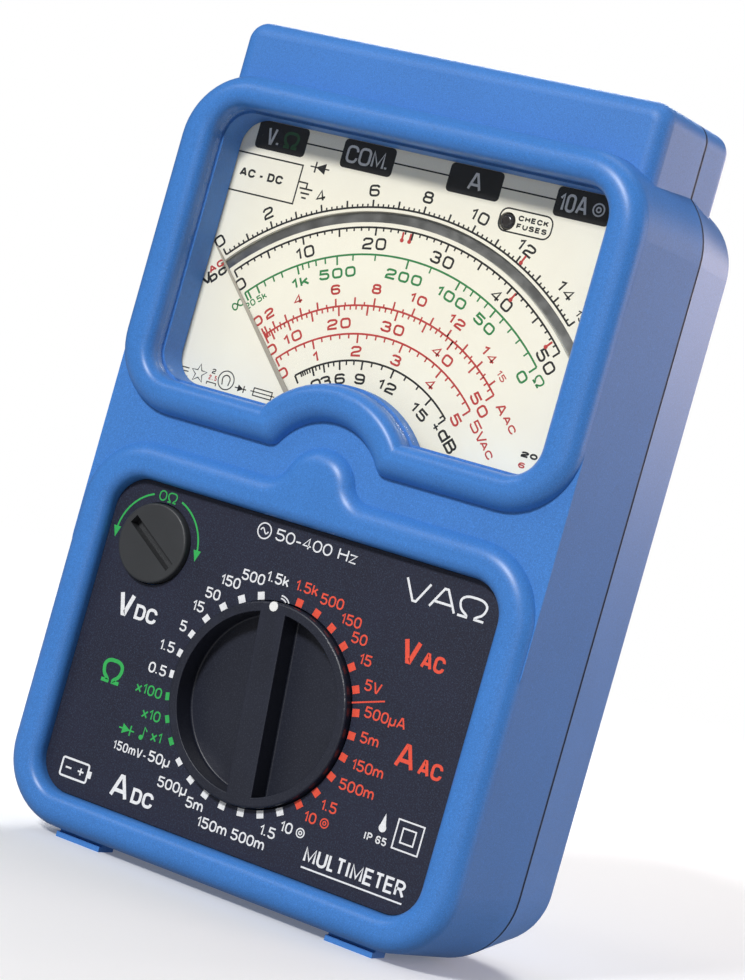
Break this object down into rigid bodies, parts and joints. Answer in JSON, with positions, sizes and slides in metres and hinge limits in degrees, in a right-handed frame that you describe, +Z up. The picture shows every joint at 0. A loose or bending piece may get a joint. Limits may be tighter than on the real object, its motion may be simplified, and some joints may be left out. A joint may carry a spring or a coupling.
{
  "type": "analog multimeter",
  "caption": "Handheld analog multimeter: drafted blue case with raised frames round a needle dial and a dark range panel, big recessed selector, zero knob and top sockets.",
  "frame": {"origin": "centre of the footprint, level with the undersides of the two cover lugs", "axes": "+X to the right of the face, the face looks along -Y, +Z up the face"},
  "size_m": [0.1054, 0.05, 0.1654],
  "materials": {
    "case_blue": "fine spark-eroded texture",
    "seal_rubber": "matt",
    "screw_steel": "zinc plated",
    "lens_clear": "clear",
    "panel_black": "fine grain, printed",
    "knob_dark": "satin",
    "mark_white": "paint",
    "shaft_plastic": "moulded",
    "contact_brass": "bright",
    "spring_steel": "bright",
    "dial_cream": "matt, printed",
    "mirror_silver": "polished",
    "chassis_grey": "moulded",
    "yoke_iron": "plated",
    "magnet": "ground",
    "jewel": "polished",
    "coil_copper": "enamelled wire",
    "needle_paint": "painted",
    "lamp_red": "translucent",
    "board_green": "solder mask",
    "resistor_blue": "lacquer",
    "part_black": "moulded",
    "fuse_ceramic": "glazed",
    "plated": "nickel plated",
    "cell_jacket": "wrapped"
  },
  "bodies": {
    "case": {"front_shell": "case_blue", "rear_shell": "case_blue", "case_seal": "seal_rubber", "case_screws": "screw_steel", "window_lens": "lens_clear", "range_panel": "panel_black", "detent_spring": "spring_steel", "zero_potentiometer": "part_black", "dial_plate": "dial_cream", "mirror_strip": "mirror_silver", "movement_chassis": "chassis_grey", "chassis_screws": "screw_steel", "pole_yoke": "yoke_iron", "core_magnet": "magnet", "core_spokes": "contact_brass", "front_bridge": "contact_brass", "rear_bridge": "contact_brass", "jewel_bearings": "jewel", "fuse_lamp": "lamp_red", "main_board": "board_green", "board_screws": "screw_steel", "precision_resistors": "resistor_blue", "trimmers": "resistor_blue", "buzzer": "part_black", "current_shunt": "contact_brass", "fuse_tubes": "fuse_ceramic", "fuse_caps": "plated", "fuse_clips": "contact_brass", "battery_tray": "part_black", "battery_cells": "cell_jacket", "battery_contacts": "plated", "socket_shrouds": "part_black", "socket_contacts": "plated"},
    "selector": {"selector_knob": "knob_dark", "selector_dot": "mark_white", "selector_shaft": "shaft_plastic", "selector_seal": "seal_rubber", "shaft_clip": "spring_steel", "switch_rotor": "shaft_plastic", "wiper_contacts": "contact_brass"},
    "zero_adjuster": {"zero_knob": "knob_dark", "zero_shaft": "shaft_plastic", "zero_seal": "seal_rubber"},
    "needle_movement": {"needle": "needle_paint", "moving_coil": "coil_copper", "coil_pivots": "spring_steel", "balance_weight": "contact_brass", "hairsprings": "contact_brass"}
  },
  "joints": [
    {"name": "selector_turn", "type": "hinge", "parent": "case", "child": "selector", "pos_m": [0, -0.0185, 0.0376], "axis": [0, 1, 0], "continuous": true},
    {"name": "zero_turn", "type": "hinge", "parent": "case", "child": "zero_adjuster", "pos_m": [-0.0327, -0.0185, 0.06065], "axis": [0, 1, 0], "range_deg": [-135, 135]},
    {"name": "needle_swing", "type": "hinge", "parent": "case", "child": "needle_movement", "pos_m": [0, -0.0155, 0.0797], "axis": [0, 1, 0], "range_deg": [0, 90.5], "stiffness_Nm_per_rad": 0.00003, "springref_deg": -5.73}
  ]
}
